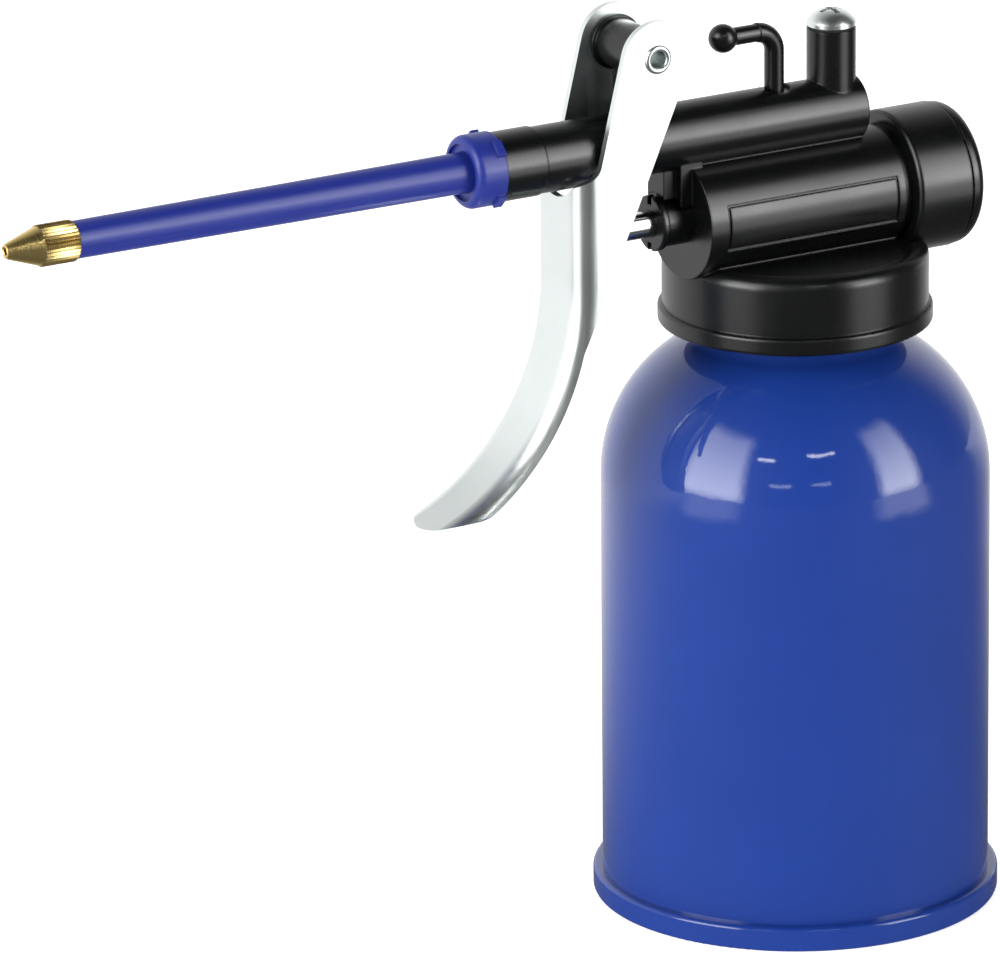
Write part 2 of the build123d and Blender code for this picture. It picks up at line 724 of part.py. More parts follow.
with BuildPart() as nozzle_tip:
    with BuildSketch(side_plane(0, tube_axis)):
        with BuildLine():
            nose_arc = RadiusArc((nozzle_tip_x, orifice_radius), (nozzle_tip_x + 0.8, nozzle_nose + 0.3), 1.0)
            Polyline(nose_arc @ 1, (knurl_front, nozzle_radius), (knurl_rear, nozzle_radius),
                     (knurl_rear, oil_way_radius - push_fit),
                     (knurl_rear + spigot_length, oil_way_radius - push_fit),
                     (knurl_rear + spigot_length, orifice_radius * 2),
                     (knurl_front, orifice_radius * 2), (knurl_front - 1, orifice_radius),
                     (nozzle_tip_x, orifice_radius))
        make_face()
    revolve(axis=Axis((0, 0, tube_axis), (1, 0, 0)))
    with BuildSketch(facing_x(knurl_front + 0.5, tube_axis)):
        with PolarLocations(nozzle_radius, knurl_count):
            Rectangle(0.5, 0.35)
    extrude(amount=nozzle_knurl_length - 0.5, mode=Mode.SUBTRACT)
save(nozzle_tip, "nozzle_tip")

# ---------------------------------------------------------------- trigger
# Zinc-plated steel strip, pressed to a deep channel that runs out into a curved blade.
ear_outside = ear_gap / 2 + trigger_sheet
web_top = tube_axis - tube_radius + 2.4
arc_top = pump_axis - arc_drop
arc_centre = (web_x - blade_arc_radius, arc_top)
blade_turn = math.radians(blade_arc_angle)
tip_z = arc_top - blade_arc_radius * math.sin(blade_turn)
end_rise = blade_arc_radius * (math.sin(blade_turn) - math.sin(blade_turn - ear_outside / blade_arc_radius))
back_radius = blade_arc_radius + blade_depth
foot = (arc_centre[0] + back_radius * math.cos(math.radians(foot_angle)),
        arc_top - back_radius * math.sin(math.radians(foot_angle)))
foot_distance = math.hypot(pivot_x - foot[0], pivot_z - foot[1])
rear_lean = math.atan2(pivot_x - foot[0], pivot_z - foot[1]) + math.asin(ear_radius / foot_distance)
rear_tangent = (pivot_x + ear_radius * math.cos(rear_lean), pivot_z - ear_radius * math.sin(rear_lean))
front_lean = math.radians(ear_front_lean)
front_tangent = (pivot_x - ear_radius * math.cos(front_lean), pivot_z + ear_radius * math.sin(front_lean))
flare_z = web_top + 2.4
flare_start = (front_tangent[0] - (front_tangent[1] - flare_z) * math.tan(front_lean), flare_z)
notch_radius = tube_radius + 1.05
channel_depth = pivot_x + ear_radius - web_x + 1

with BuildPart() as side_outline:
    with BuildSketch(side_plane()):
        with BuildLine():
            Line(rear_tangent, foot)
            CenterArc(arc_centre, back_radius, -foot_angle, foot_angle - blade_arc_angle)
            Line((arc_centre[0] + back_radius * math.cos(blade_turn),
                  arc_top - back_radius * math.sin(blade_turn)),
                 (arc_centre[0] + blade_arc_radius * math.cos(blade_turn), tip_z))
            CenterArc(arc_centre, blade_arc_radius, -blade_arc_angle, blade_arc_angle)
            Line((web_x, arc_top), (web_x, web_top - 2))
            Spline((web_x, web_top - 2), (web_x + 1.2, web_top - 0.4), flare_start,
                   tangents=((0, 1), (math.sin(front_lean), math.cos(front_lean))))
            Line(flare_start, front_tangent)
            CenterArc((pivot_x, pivot_z), ear_radius, 180 - ear_front_lean,
                      ear_front_lean - 180 - math.degrees(rear_lean))
        make_face()
    extrude(amount=ear_outside + 1, both=True)

with BuildPart() as trigger_lever:
    # channel with round bends: straight above, curved below
    with BuildSketch(facing_up(0, arc_top)) as channel:
        with Locations((web_x, 0)):
            Rectangle(channel_depth, 2 * ear_outside, align=(Align.MIN, Align.CENTER))
        fillet(channel.vertices().group_by(Axis.X)[0], bend_outside)
        with BuildSketch(mode=Mode.PRIVATE) as inside:
            with Locations((web_x + trigger_sheet, 0)):
                Rectangle(channel_depth, ear_gap, align=(Align.MIN, Align.CENTER))
            fillet(inside.vertices().group_by(Axis.X)[0], bend_outside - trigger_sheet)
        add(inside.sketch, mode=Mode.SUBTRACT)
    extrude(amount=pivot_z + ear_radius + 1 - arc_top)
    revolve(channel.sketch, axis=Axis((arc_centre[0], 0, arc_top), (0, 1, 0)), revolution_arc=blade_arc_angle)
    add(side_outline.part, mode=Mode.INTERSECT)
    # round end of the blade
    with BuildSketch(facing_x(arc_centre[0], 0)):
        with BuildLine():
            Line((-ear_outside, tip_z + end_rise), (-ear_outside, pivot_z + ear_radius + 1))
            Line((-ear_outside, pivot_z + ear_radius + 1), (ear_outside, pivot_z + ear_radius + 1))
            Line((ear_outside, pivot_z + ear_radius + 1), (ear_outside, tip_z + end_rise))
            EllipticalCenterArc((0, tip_z + end_rise), ear_outside, end_rise, 180, arc_size=180)
        make_face()
    extrude(amount=channel_depth + blade_arc_radius, mode=Mode.INTERSECT)
    # rivet holes and room for the discharge tube
    with BuildSketch(side_plane(pivot_x, pivot_z)):
        Circle(rivet_radius)
    extrude(amount=ear_outside + 1, both=True, mode=Mode.SUBTRACT)
    with BuildSketch(facing_x(web_x - 1, tube_axis)):
        Circle(notch_radius)
    extrude(amount=bend_outside + 1, mode=Mode.SUBTRACT)
save(trigger_lever, "trigger_lever")

# Hollow rivet, rolled over on both ears.
rivet_head = 0.5
with BuildPart() as pivot_rivet:
    with BuildSketch(side_plane(pivot_x, pivot_z)):
        Circle(rivet_radius)
    extrude(amount=ear_outside, both=True)
    with BuildSketch(side_plane(pivot_x, pivot_z, -ear_outside),
                     side_plane(pivot_x, pivot_z, ear_outside + rivet_head)):
        Circle(rivet_head_radius)
    extrude(amount=rivet_head)
    with BuildSketch(side_plane(pivot_x, pivot_z)):
        Circle(rivet_bore_radius)
    extrude(amount=ear_outside + 1, both=True, mode=Mode.SUBTRACT)
save(pivot_rivet, "pivot_rivet")

# ---------------------------------------------------------------- suction side
valve_seat_flange = 1.0
seat_outer = chamber_radius + 0.8

with BuildPart() as inlet_seat:
    with BuildSketch(side_plane(suction_x, 0)):
        with BuildLine():
            Polyline((seat_hole_radius, seat_top), (seat_outer - push_fit, seat_top),
                     (seat_outer - push_fit, suction_bottom), (suction_boss_radius, suction_bottom),
                     (suction_boss_radius, suction_bottom - valve_seat_flange),
                     (dip_tube_bore - push_fit, suction_bottom - valve_seat_flange),
                     (dip_tube_bore - push_fit, suction_bottom - seat_stem),
                     (seat_hole_radius, suction_bottom - seat_stem),
                     close=True)
        make_face()
    revolve(axis=Axis((suction_x, 0, 0), (0, 0, 1)))
save(inlet_seat, "inlet_seat")

with BuildPart() as inlet_ball:
    with BuildSketch(side_plane(suction_x, seat_top + ball_lift)):
        Circle(ball_radius)
        Rectangle(2 * ball_radius, 2 * ball_radius, align=(Align.MAX, Align.CENTER), mode=Mode.SUBTRACT)
    revolve(axis=Axis((suction_x, 0, 0), (0, 0, 1)))
save(inlet_ball, "inlet_ball")

with BuildPart() as ball_keeper:
    with BuildSketch(side_plane(suction_x, seat_top + keeper_rise)):
        Circle(keeper_radius)
    extrude(amount=suction_boss_radius - 0.3, both=True)
save(ball_keeper, "ball_keeper")

with BuildPart() as dip_tube:
    with BuildSketch(facing_up(suction_x, dip_tube_foot)):
        Circle(dip_tube_radius)
        Circle(dip_tube_bore, mode=Mode.SUBTRACT)
    extrude(amount=suction_bottom - valve_seat_flange - dip_tube_foot)
save(dip_tube, "dip_tube")

strainer_foot = dip_tube_foot - 2.6
with BuildPart() as suction_strainer:
    with BuildSketch(facing_up(suction_x, strainer_foot)):
        Circle(dip_tube_radius + 0.7)
    extrude(amount=dip_tube_foot - strainer_foot + 5)
    with BuildSketch(facing_up(suction_x, dip_tube_foot)):
        Circle(dip_tube_radius + push_fit)
    extrude(amount=6, mode=Mode.SUBTRACT)
    with BuildSketch(facing_up(suction_x, strainer_foot + 0.6)):
        Circle(dip_tube_bore)
    extrude(amount=dip_tube_foot - strainer_foot, mode=Mode.SUBTRACT)
    with BuildSketch(facing_up(suction_x, strainer_foot)):
        with PolarLocations(1.1, 6):
            Circle(0.35)
        Circle(0.35)
    extrude(amount=1, mode=Mode.SUBTRACT)
save(suction_strainer, "suction_strainer")
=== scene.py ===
import math

import bmesh
import bpy
from mathutils import Matrix, Vector


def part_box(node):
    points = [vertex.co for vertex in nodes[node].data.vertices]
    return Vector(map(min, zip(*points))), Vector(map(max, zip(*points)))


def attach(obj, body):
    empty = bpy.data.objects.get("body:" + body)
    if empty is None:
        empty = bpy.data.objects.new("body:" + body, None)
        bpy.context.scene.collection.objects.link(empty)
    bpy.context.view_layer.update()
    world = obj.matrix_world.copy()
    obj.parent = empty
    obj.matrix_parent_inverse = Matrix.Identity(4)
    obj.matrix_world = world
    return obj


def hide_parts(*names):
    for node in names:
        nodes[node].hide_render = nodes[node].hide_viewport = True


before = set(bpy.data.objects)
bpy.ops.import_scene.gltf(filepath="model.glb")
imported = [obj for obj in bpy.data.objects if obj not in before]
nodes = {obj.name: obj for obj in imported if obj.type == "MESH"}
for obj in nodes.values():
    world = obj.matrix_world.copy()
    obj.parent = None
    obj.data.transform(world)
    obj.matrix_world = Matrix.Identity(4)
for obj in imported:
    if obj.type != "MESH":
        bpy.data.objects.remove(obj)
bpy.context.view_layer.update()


# ---------------------------------------------------------------- can
# Deep-drawn steel can with a domed shoulder, a soldered neck ferrule and a rolled foot seam.
# It is sprayed blue all over and stoved, so the enamel lies thick and glossy with a faint orange peel.
def linear(hex_colour):
    """Turn an sRGB colour such as 1A3C9E into the linear values that a shader takes."""
    channels = [int(hex_colour[i:i + 2], 16) / 255 for i in (0, 2, 4)]
    values = [c / 12.92 if c <= 0.04045 else ((c + 0.055) / 1.055) ** 2.4 for c in channels]
    return (*values, 1.0)


def add_node(material, kind, inputs, **settings):
    """Add one node. Each input is a plain value or the output socket that feeds it."""
    node = material.node_tree.nodes.new(kind)
    for name, value in settings.items():
        setattr(node, name, value)
    for name, value in inputs.items():
        if isinstance(value, bpy.types.NodeSocket):
            material.node_tree.links.new(value, node.inputs[name])
        else:
            node.inputs[name].default_value = value
    return node


def new_material(name):
    """An empty node material, with the object's own coordinates as its first node."""
    material = bpy.data.materials.new(name)
    material.use_nodes = True
    material.node_tree.nodes.clear()
    place = add_node(material, "ShaderNodeTexCoord", {})
    return material, place.outputs["Object"]


def paint_nodes(material, *names):
    """Give CAD nodes their finish."""
    for name in names:
        for slot in nodes[name].material_slots:
            slot.material = material


def stoved_blue_enamel():
    """Blue pigment under a clear gloss. Clouding 20 mm across, orange peel 1.2 mm across."""
    material, place = new_material("stoved_blue_enamel")
    cloud = add_node(material, "ShaderNodeTexNoise", {"Vector": place, "Scale": 1 / 0.020, "Detail": 2.0})
    tone = add_node(material, "ShaderNodeMix", {"Factor": cloud.outputs["Fac"], "A": linear("12317F"),
                                                "B": linear("163889")}, data_type="RGBA")
    peel = add_node(material, "ShaderNodeTexNoise", {"Vector": place, "Scale": 1 / 0.0012, "Detail": 1.0})
    bump = add_node(material, "ShaderNodeBump", {"Strength": 0.05, "Distance": 0.0002,
                                                 "Height": peel.outputs["Fac"]})
    haze = add_node(material, "ShaderNodeMapRange", {"Value": cloud.outputs["Fac"], "From Min": 0.3,
                                                     "From Max": 0.7, "To Min": 0.48, "To Max": 0.56})
    shader = add_node(material, "ShaderNodeBsdfPrincipled", {
        "Base Color": tone.outputs["Result"], "Roughness": haze.outputs["Result"], "IOR": 1.45,
        "Specular IOR Level": 0.15, "Coat Weight": 1.0, "Coat Roughness": 0.05, "Coat IOR": 1.5,
        "Normal": bump.outputs["Normal"], "Coat Normal": bump.outputs["Normal"]})
    add_node(material, "ShaderNodeOutputMaterial", {"Surface": shader.outputs["BSDF"]})
    return material


paint_nodes(stoved_blue_enamel(), "can_body", "neck_ferrule", "can_base")


# ---------------------------------------------------------------- pump head
# Screw cap, barrel, discharge tube, turret and pivot post are one injection moulding in black
# glass-filled polyamide. The tool was fine-sparked, so the surface is satin with broad soft highlights.
def satin_black_polyamide():
    """Black with a spark texture 0.35 mm across, drawn no finer so that it shows, and eased edges."""
    material, place = new_material("satin_black_polyamide")
    spark = add_node(material, "ShaderNodeTexNoise", {"Vector": place, "Scale": 1 / 0.00035, "Detail": 2.0})
    flow = add_node(material, "ShaderNodeTexNoise", {"Vector": place, "Scale": 1 / 0.012, "Detail": 3.0})
    tone = add_node(material, "ShaderNodeMix", {"Factor": flow.outputs["Fac"], "A": linear("050607"),
                                                "B": linear("0A0B0C")}, data_type="RGBA")
    gloss = add_node(material, "ShaderNodeMapRange", {"Value": flow.outputs["Fac"], "From Min": 0.3,
                                                      "From Max": 0.7, "To Min": 0.24, "To Max": 0.31})
    eased = add_node(material, "ShaderNodeBevel", {"Radius": 0.0004}, samples=4)
    bump = add_node(material, "ShaderNodeBump", {"Strength": 0.10, "Distance": 0.00005,
                                                 "Height": spark.outputs["Fac"],
                                                 "Normal": eased.outputs["Normal"]})
    shader = add_node(material, "ShaderNodeBsdfPrincipled", {
        "Base Color": tone.outputs["Result"], "Roughness": gloss.outputs["Result"], "IOR": 1.53,
        "Normal": bump.outputs["Normal"]})
    add_node(material, "ShaderNodeOutputMaterial", {"Surface": shader.outputs["BSDF"]})
    return material


black_polyamide = satin_black_polyamide()
paint_nodes(black_polyamide, "pump_head")


# ---------------------------------------------------------------- seals
# Nitrile rubber: the gasket under the cap, the washers at each joint and the cup on the piston.
# Moulded or punched from sheet, dull black, with a bloom of talc in the grain.
def nitrile_rubber():
    """Dull charcoal with a powdery grain 0.6 mm across."""
    material, place = new_material("nitrile_rubber")
    bloom = add_node(material, "ShaderNodeTexNoise", {"Vector": place, "Scale": 1 / 0.0006, "Detail": 4.0})
    tone = add_node(material, "ShaderNodeMix", {"Factor": bloom.outputs["Fac"], "A": linear("121213"),
                                                "B": linear("242424")}, data_type="RGBA")
    bump = add_node(material, "ShaderNodeBump", {"Strength": 0.2, "Distance": 0.00005,
                                                 "Height": bloom.outputs["Fac"]})
    shader = add_node(material, "ShaderNodeBsdfPrincipled", {
        "Base Color": tone.outputs["Result"], "Roughness": 0.62, "IOR": 1.52,
        "Normal": bump.outputs["Normal"]})
    add_node(material, "ShaderNodeOutputMaterial", {"Surface": shader.outputs["BSDF"]})
    return material


paint_nodes(nitrile_rubber(), "cap_gasket", "end_cap_seal", "rod_seal", "valve_screw_seal", "spout_seal",
            "piston_cup")

# ---------------------------------------------------------------- end cap and gland nut
# Two more black mouldings: the ribless cap that closes the barrel's rear end, and the flanged nut
# that the plunger slides through. Same polyamide and the same tool finish as the head.
paint_nodes(black_polyamide, "end_cap", "gland_nut")


# ---------------------------------------------------------------- plunger rod and valve balls
# Silver-steel rod, centreless ground and polished, and bearing balls; the keeper pin is the same wire.
# Grinding leaves fine rings round the rod, drawn here 0.12 mm apart.
def ground_steel():
    """Mirror-bright steel with faint grinding rings across the rod's length."""
    material, place = new_material("ground_steel")
    rings = add_node(material, "ShaderNodeMapping", {"Vector": place, "Scale": (1 / 0.00012, 40.0, 40.0)})
    grain = add_node(material, "ShaderNodeTexNoise", {"Vector": rings.outputs["Vector"], "Scale": 1.0,
                                                      "Detail": 2.0})
    rough = add_node(material, "ShaderNodeMapRange", {"Value": grain.outputs["Fac"], "From Min": 0.3,
                                                      "From Max": 0.7, "To Min": 0.10, "To Max": 0.20})
    tone = add_node(material, "ShaderNodeMix", {"Factor": grain.outputs["Fac"], "A": linear("E2E4E5"),
                                                "B": linear("F0F1F1")}, data_type="RGBA")
    shader = add_node(material, "ShaderNodeBsdfPrincipled", {
        "Base Color": tone.outputs["Result"], "Metallic": 1.0, "Roughness": rough.outputs["Result"]})
    add_node(material, "ShaderNodeOutputMaterial", {"Surface": shader.outputs["BSDF"]})
    return material


paint_nodes(ground_steel(), "piston_rod", "inlet_ball", "outlet_ball", "ball_keeper")


# ---------------------------------------------------------------- springs
# Hard-drawn spring wire, cold coiled: a large one pushes the piston back and a small one holds the
# outlet ball on its seat. They are left oiled, so the wire is grey under a mottled film.
def drawn_spring_wire():
    """Grey steel with a mottled oil film about 1.5 mm across."""
    material, place = new_material("drawn_spring_wire")
    film = add_node(material, "ShaderNodeTexNoise", {"Vector": place, "Scale": 1 / 0.0015, "Detail": 3.0})
    tone = add_node(material, "ShaderNodeMix", {"Factor": film.outputs["Fac"], "A": linear("77797C"),
                                                "B": linear("A9ABAC")}, data_type="RGBA")
    rough = add_node(material, "ShaderNodeMapRange", {"Value": film.outputs["Fac"], "From Min": 0.3,
                                                      "From Max": 0.7, "To Min": 0.25, "To Max": 0.42})
    shader = add_node(material, "ShaderNodeBsdfPrincipled", {
        "Base Color": tone.outputs["Result"], "Metallic": 1.0, "Roughness": rough.outputs["Result"]})
    add_node(material, "ShaderNodeOutputMaterial", {"Surface": shader.outputs["BSDF"]})
    return material


paint_nodes(drawn_spring_wire(), "return_spring", "outlet_spring")


# ---------------------------------------------------------------- piston and dip tube
# Piston turned from natural nylon bar; the dip tube is extruded from the same polymer with thin walls.
# Both are milky and a little waxy, so some light passes under the surface.
def natural_nylon():
    """Ivory nylon with flow marks 4 mm long along the extrusion."""
    material, place = new_material("natural_nylon")
    drawn = add_node(material, "ShaderNodeMapping", {"Vector": place, "Scale": (900.0, 900.0, 1 / 0.004)})
    flow = add_node(material, "ShaderNodeTexNoise", {"Vector": drawn.outputs["Vector"], "Scale": 1.0})
    tone = add_node(material, "ShaderNodeMix", {"Factor": flow.outputs["Fac"], "A": linear("DEDACC"),
                                                "B": linear("F0EDE2")}, data_type="RGBA")
    shader = add_node(material, "ShaderNodeBsdfPrincipled", {
        "Base Color": tone.outputs["Result"], "Roughness": 0.36, "IOR": 1.53, "Subsurface Weight": 0.3,
        "Subsurface Radius": (0.002, 0.0018, 0.0014), "Subsurface Scale": 1.0})
    add_node(material, "ShaderNodeOutputMaterial", {"Surface": shader.outputs["BSDF"]})
    return material


paint_nodes(natural_nylon(), "piston", "dip_tube")

# ---------------------------------------------------------------- stopcock and coupling
# Cranked lever with its ball knob, the bush that holds its stem and the sleeve in front of the tube.
# All three are moulded in the head's black polyamide.
paint_nodes(black_polyamide, "stopcock_lever", "stopcock_bush", "spout_coupling")


# ---------------------------------------------------------------- spout
# Long straight spout and its union nut, moulded in blue-pigmented acetal.
# The polished tool leaves them semi-gloss, with faint drag lines from ejection along the tube.
def blue_acetal():
    """Violet-blue acetal, with drag lines 0.4 mm apart that run 15 mm along the spout."""
    material, place = new_material("blue_acetal")
    drawn = add_node(material, "ShaderNodeMapping", {"Vector": place, "Scale": (1 / 0.015, 2500.0, 2500.0)})
    drag = add_node(material, "ShaderNodeTexNoise", {"Vector": drawn.outputs["Vector"], "Scale": 1.0,
                                                     "Detail": 2.0})
    tone = add_node(material, "ShaderNodeMix", {"Factor": drag.outputs["Fac"], "A": linear("1A277C"),
                                                "B": linear("203089")}, data_type="RGBA")
    gloss = add_node(material, "ShaderNodeMapRange", {"Value": drag.outputs["Fac"], "From Min": 0.3,
                                                      "From Max": 0.7, "To Min": 0.32, "To Max": 0.40})
    eased = add_node(material, "ShaderNodeBevel", {"Radius": 0.0003}, samples=4)
    bump = add_node(material, "ShaderNodeBump", {"Strength": 0.08, "Distance": 0.00004,
                                                 "Height": drag.outputs["Fac"],
                                                 "Normal": eased.outputs["Normal"]})
    shader = add_node(material, "ShaderNodeBsdfPrincipled", {
        "Base Color": tone.outputs["Result"], "Roughness": gloss.outputs["Result"], "IOR": 1.48,
        "Subsurface Weight": 0.08, "Subsurface Radius": (0.0004, 0.0006, 0.002), "Subsurface Scale": 1.0,
        "Normal": bump.outputs["Normal"]})
    add_node(material, "ShaderNodeOutputMaterial", {"Surface": shader.outputs["BSDF"]})
    return material


paint_nodes(blue_acetal(), "spout_tube", "spout_nut")


# ---------------------------------------------------------------- nozzle tip
# Brass jet, turned from bar: a pierced cone in front and a straight-knurled collar for the fingers.
# It is left bare, so the cutting tool's fine rings and the crests of the knurl catch the light.
# The inlet seat and the strainer at the foot of the dip tube are of the same brass.
def turned_brass():
    """Yellow brass with tool rings 0.15 mm apart along the turned length, and light tarnish."""
    material, place = new_material("turned_brass")
    lathe = add_node(material, "ShaderNodeMapping", {"Vector": place, "Scale": (1 / 0.00015, 30.0, 30.0)})
    rings = add_node(material, "ShaderNodeTexNoise", {"Vector": lathe.outputs["Vector"], "Scale": 1.0,
                                                      "Detail": 1.0})
    tarnish = add_node(material, "ShaderNodeTexNoise", {"Vector": place, "Scale": 1 / 0.003, "Detail": 3.0})
    tone = add_node(material, "ShaderNodeMix", {"Factor": tarnish.outputs["Fac"], "A": linear("E2BF70"),
                                                "B": linear("F5DF9C")}, data_type="RGBA")
    rough = add_node(material, "ShaderNodeMapRange", {"Value": rings.outputs["Fac"], "From Min": 0.3,
                                                      "From Max": 0.7, "To Min": 0.24, "To Max": 0.36})
    bump = add_node(material, "ShaderNodeBump", {"Strength": 0.12, "Distance": 0.00003,
                                                 "Height": rings.outputs["Fac"]})
    shader = add_node(material, "ShaderNodeBsdfPrincipled", {
        "Base Color": tone.outputs["Result"], "Metallic": 1.0, "Roughness": rough.outputs["Result"],
        "Normal": bump.outputs["Normal"]})
    add_node(material, "ShaderNodeOutputMaterial", {"Surface": shader.outputs["BSDF"]})
    return material


def finish_piece(name, form, material, body, slot, *replaced):
    """Turn a bmesh into a named piece: closed, facing outwards, smooth between its sharp edges."""
    bmesh.ops.remove_doubles(form, verts=form.verts, dist=1e-6)
    bmesh.ops.recalc_face_normals(form, faces=form.faces)
    mesh = bpy.data.meshes.new(name)
    form.to_mesh(mesh)
    form.free()
    mesh.shade_smooth()
    mesh.set_sharp_from_angle(angle=math.radians(32))
    mesh.materials.append(material)
    piece = bpy.data.objects.new(name, mesh)
    bpy.context.collection.objects.link(piece)
    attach(piece, body)
    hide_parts(*replaced)
    return piece


def spin_outline(outline, centre, axis, steps):
    """Turn a line of points once round an axis, as on a lathe."""
    form = bmesh.new()
    verts = [form.verts.new(point) for point in outline]
    edges = [form.edges.new(pair) for pair in zip(verts, verts[1:])]
    bmesh.ops.spin(form, geom=verts + edges, cent=centre, axis=axis, dvec=(0, 0, 0),
                   angle=math.tau, steps=steps, use_merge=True, use_duplicate=False)
    return form


brass = turned_brass()
paint_nodes(brass, "nozzle_tip", "inlet_seat", "suction_strainer")

nozzle_low, nozzle_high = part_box("nozzle_tip")
nozzle_radius = (nozzle_high[2] - nozzle_low[2]) / 2
nozzle_centre = Vector((nozzle_low[0], 0.0, nozzle_low[2] + nozzle_radius))
cone_length = 0.0058
collar_length = 0.0064
spigot_radius = 0.00188
jet_radius = 0.0006
ridge_count = 34
ridge_depth = 0.00026
chamfer = 0.00025
nose = [(0.0030, 0.0), (0.0030, jet_radius), (0.0002, jet_radius), (0.0, 0.00085), (0.00012, 0.00112),
        (0.00050, 0.00134)]
collar = [(cone_length, nozzle_radius - chamfer), (cone_length + chamfer, nozzle_radius),
          (cone_length + collar_length - chamfer, nozzle_radius),
          (cone_length + collar_length, nozzle_radius - chamfer)]
spigot = [(cone_length + collar_length, spigot_radius), (nozzle_high[0] - nozzle_low[0], spigot_radius),
          (nozzle_high[0] - nozzle_low[0], 0.0)]
nozzle_line = [nozzle_centre + Vector((along, 0, radius)) for along, radius in nose + collar + spigot]
nozzle = spin_outline(nozzle_line, nozzle_centre, (1, 0, 0), 2 * ridge_count)
bmesh.ops.remove_doubles(nozzle, verts=nozzle.verts, dist=1e-6)
for vert in nozzle.verts:
    offset = vert.co - nozzle_centre
    column = round(math.atan2(offset.y, offset.z) / math.pi * ridge_count)
    if column % 2 and math.hypot(offset.y, offset.z) > nozzle_radius - chamfer / 2:
        vert.co -= Vector((0, offset.y, offset.z)).normalized() * ridge_depth
finish_piece("knurled_nozzle", nozzle, brass, "head", "turned_brass", "nozzle_tip")


# ---------------------------------------------------------------- trigger
# Steel strip, blanked, pressed to a deep channel and rolled back into a blade, then bright zinc plated.
# The plate is pale and a little cloudy, and follows the fine rolling lines of the strip.
# The rivet, the valve screw, the piston's nut and the spring's seat have the same plate.
def bright_zinc_plate():
    """Pale zinc with a faint blue-green passivation, and rolling lines 0.3 mm apart down the strip."""
    material, place = new_material("bright_zinc_plate")
    rolled = add_node(material, "ShaderNodeMapping", {"Vector": place, "Scale": (900.0, 1 / 0.0003, 60.0)})
    lines = add_node(material, "ShaderNodeTexNoise", {"Vector": rolled.outputs["Vector"], "Scale": 1.0,
                                                      "Detail": 2.0})
    cloud = add_node(material, "ShaderNodeTexNoise", {"Vector": place, "Scale": 1 / 0.009, "Detail": 3.0})
    tone = add_node(material, "ShaderNodeMix", {"Factor": cloud.outputs["Fac"], "A": linear("E2ECEA"),
                                                "B": linear("F5F9F8")}, data_type="RGBA")
    rough = add_node(material, "ShaderNodeMapRange", {"Value": lines.outputs["Fac"], "From Min": 0.3,
                                                      "From Max": 0.7, "To Min": 0.28, "To Max": 0.34})
    bump = add_node(material, "ShaderNodeBump", {"Strength": 0.04, "Distance": 0.00003,
                                                 "Height": lines.outputs["Fac"]})
    shader = add_node(material, "ShaderNodeBsdfPrincipled", {
        "Base Color": tone.outputs["Result"], "Metallic": 1.0, "Roughness": rough.outputs["Result"],
        "Normal": bump.outputs["Normal"]})
    add_node(material, "ShaderNodeOutputMaterial", {"Surface": shader.outputs["BSDF"]})
    return material


zinc = bright_zinc_plate()
paint_nodes(zinc, "trigger_lever", "valve_screw", "piston_nut", "spring_seat", "pivot_rivet")

# ---------------------------------------------------------------- pivot rivet
# Tubular steel rivet, pushed through both ears and the post and rolled over at each end.
# The rolled lips stand proud as small rings round the open bore.
rivet_low, rivet_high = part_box("pivot_rivet")
rivet_centre = (Vector(rivet_low) + Vector(rivet_high)) / 2
lip_radius = (rivet_high[0] - rivet_low[0]) / 2
lip_height = 0.0005
rivet_bore = 0.0014
rivet_shank = 0.0020
lip_steps = 8
lip_foot = (rivet_high[1] - rivet_low[1]) / 2 - lip_height
lip_middle = (lip_radius + rivet_bore) / 2
lip_half = (lip_radius - rivet_bore) / 2


def rolled_lip(side):
    """Half round from the bore over to the outside of the lip."""
    turns = [math.pi * step / lip_steps for step in range(lip_steps + 1)]
    return [(lip_middle - lip_half * math.cos(turn), side * (lip_foot + lip_height * math.sin(turn)))
            for turn in turns]


rivet_outline = rolled_lip(-1) + [(rivet_shank, -lip_foot), (rivet_shank, lip_foot)] + rolled_lip(1)[::-1]
rivet_outline.append(rivet_outline[0])
rivet = spin_outline([rivet_centre + Vector((0, along, radius)) for radius, along in rivet_outline],
                     rivet_centre, (0, 1, 0), 48)
finish_piece("rolled_rivet", rivet, zinc, "trigger", "zinc_plated_steel", "pivot_rivet")


# ---------------------------------------------------------------- camera
# A long lens from the front left, about 32 degrees round the can's axis and 18 degrees up.
# Its small roll sets the can upright in the picture.
camera_place = Vector((-0.87084, -1.38824, 0.60231))
camera_aim = Vector((-0.057105, 0.0, 0.081686))
camera_roll = math.radians(-0.528)
camera_data = bpy.data.cameras.new("camera")
camera_data.lens = 371.33
camera_data.sensor_width = 36.0
camera_data.clip_end = 20.0
camera = bpy.data.objects.new("camera", camera_data)
bpy.context.collection.objects.link(camera)
turn = (camera_aim - camera_place).to_track_quat("-Z", "Y").to_matrix() @ Matrix.Rotation(camera_roll, 3, "Z")
camera.matrix_world = Matrix.Translation(camera_place) @ turn.to_4x4()
bpy.context.scene.camera = camera
bpy.context.scene.view_settings.view_transform = "Standard"

# ---------------------------------------------------------------- floor
# Plain white paper on a table. In the object's gloss it glows with painted light and shade instead: painted
# flag shade, nearly dark in front and bright behind, and two painted pools of lamp light in sectors further
# out.
paper_glow = 0.62
flag_front, flag_back = -0.02, 0.25
front_level = 0.10
lamp_near, lamp_far = 0.27, 0.40
lamp_core, lamp_edge = math.radians(10), math.radians(24)
painted_lamp_pools = ((33.0, 2.2), (-82.0, 1.6))     # each painted pool of lamp light has a bearing in degrees, from -Y towards +X, and a level
